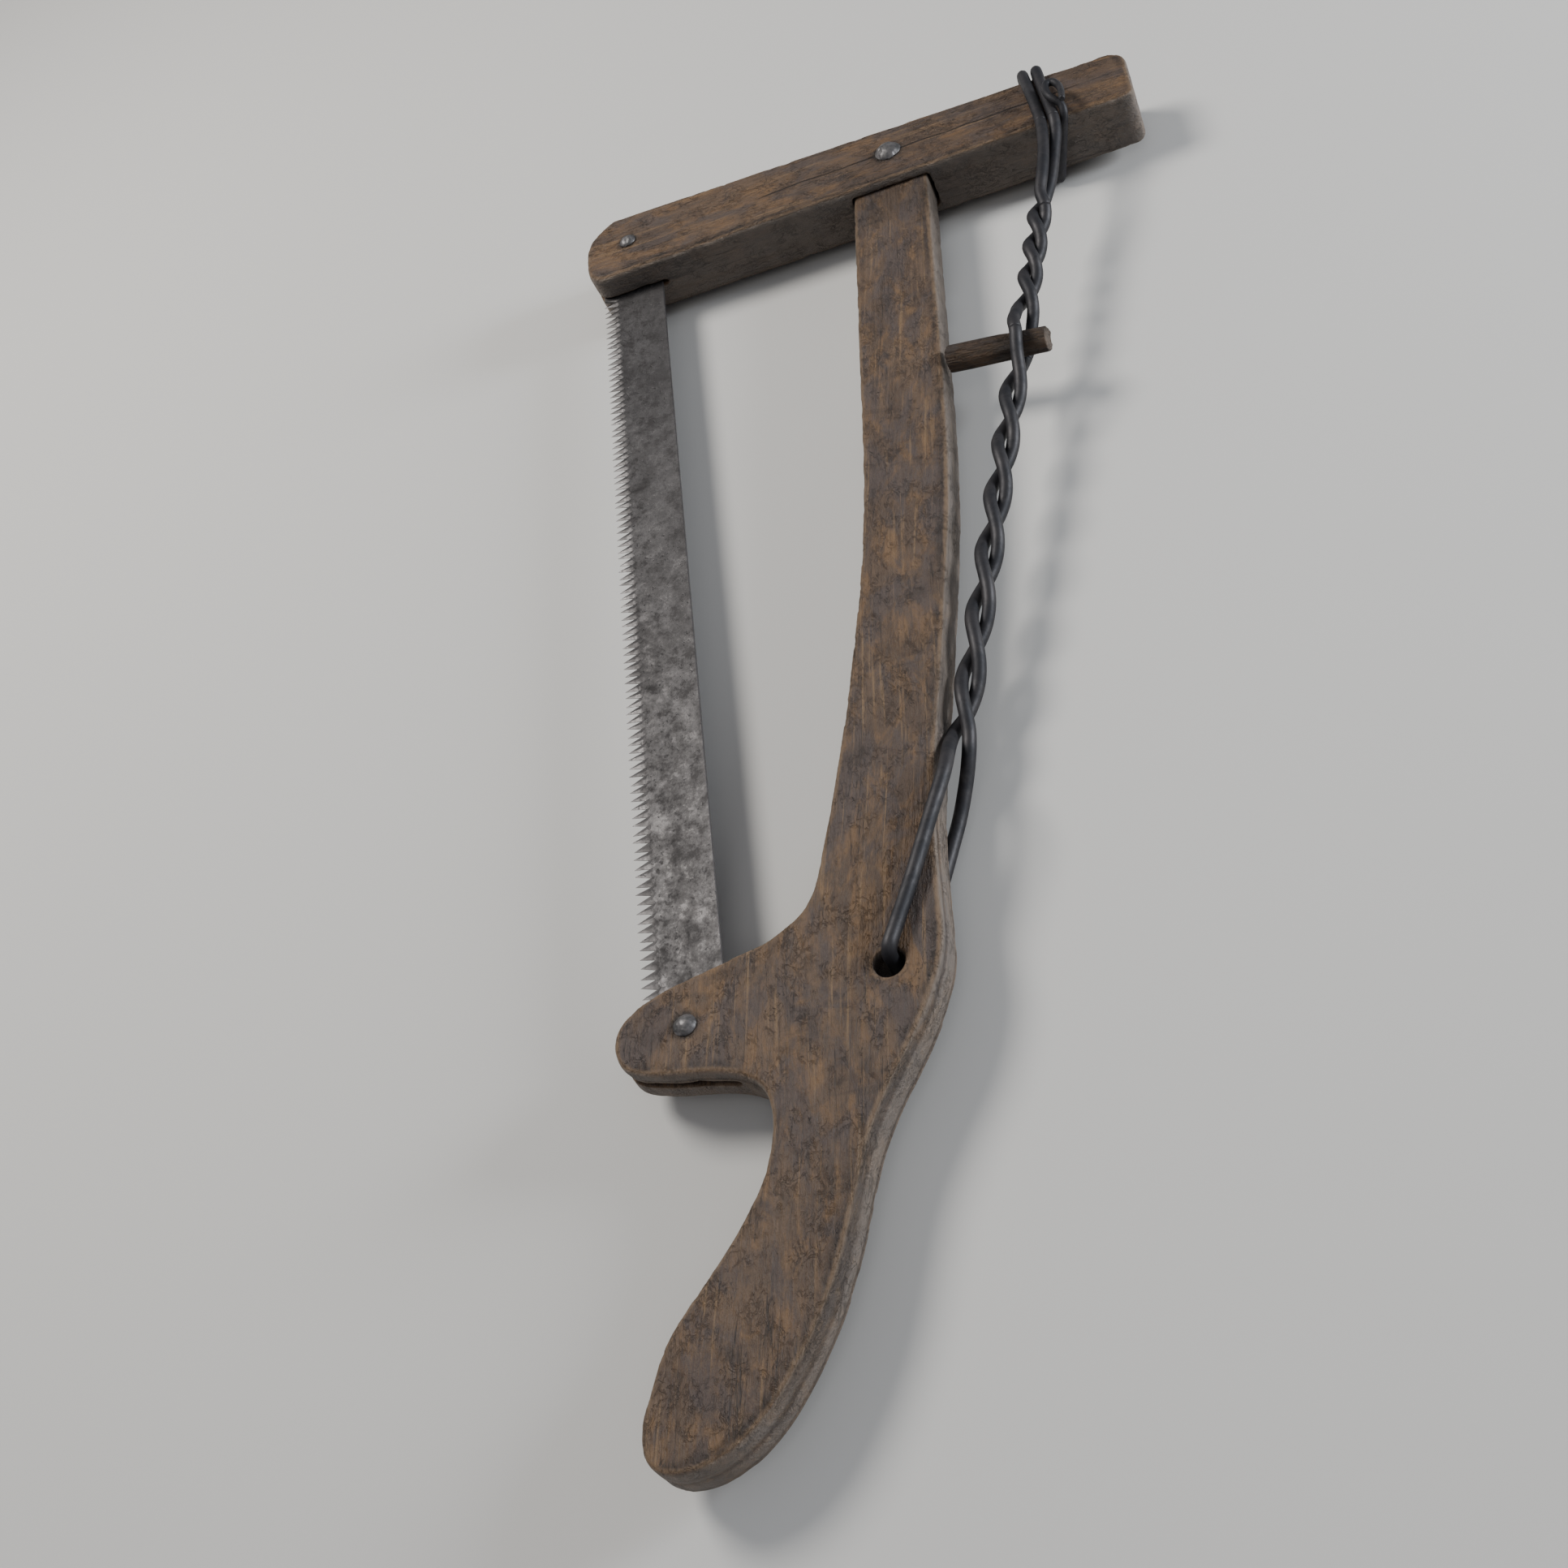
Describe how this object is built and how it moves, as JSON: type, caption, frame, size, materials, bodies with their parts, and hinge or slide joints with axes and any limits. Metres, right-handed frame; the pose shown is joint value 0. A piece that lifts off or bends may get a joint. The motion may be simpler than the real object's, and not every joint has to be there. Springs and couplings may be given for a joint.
{
  "type": "bow saw",
  "caption": "Wooden bow saw: a paddle-gripped stock and a rocking arm hold a toothed blade, tensioned by a twisted wire with a toggle peg.",
  "frame": {"origin": "under the middle of the whole saw, on the surface that it lies on with its back down", "axes": "+Z out of the front face, +Y along the saw from the grip to the arm, +X from the blade to the wire"},
  "size_m": [0.2552, 0.5808, 0.0427],
  "materials": {
    "stock_wood": "weathered, hand-worn, dark brown with warm streaks",
    "arm_wood": "weathered, dark brown with warm streaks",
    "blade_steel": "dull, mottled with dark patina",
    "rivet_iron": "dark, worn, slightly rough",
    "wire_iron": "dark smooth iron with a soft sheen",
    "peg_wood": "rough split wood, dark brown"
  },
  "bodies": {
    "stock": {"stock": "stock_wood", "blade_foot_rivet": "rivet_iron", "blade_foot_rove": "rivet_iron", "tension_wire": "wire_iron"},
    "arm": {"arm": "arm_wood", "pivot_rivet": "rivet_iron", "pivot_rove": "rivet_iron", "blade_top_rivet": "rivet_iron", "blade_top_rove": "rivet_iron"},
    "blade": {"blade": "blade_steel"},
    "toggle": {"toggle_peg": "peg_wood"}
  },
  "joints": [
    {"name": "arm_rock", "type": "hinge", "parent": "stock", "child": "arm", "pos_m": [0.02173, 0.2552, 0.01805], "axis": [0, 0, 1], "range_deg": [0, 1.2], "deforming": ["tension_wire"]},
    {"name": "blade_swing", "type": "hinge", "parent": "arm", "child": "blade", "pos_m": [-0.10217, 0.2687, 0.01805], "axis": [0, 0, 1], "range_deg": [-1.17, 0]},
    {"name": "toggle_turn", "type": "hinge", "parent": "stock", "child": "toggle", "pos_m": [0.05292, 0.10509, 0.02512], "axis": [0.2977, 0.9538, 0.0406], "range_deg": [-170, 170], "deforming": ["tension_wire"]}
  ],
  "couplings": [
    {"joint": "blade_swing", "follows": "arm_rock", "ratio": -0.968}
  ]
}
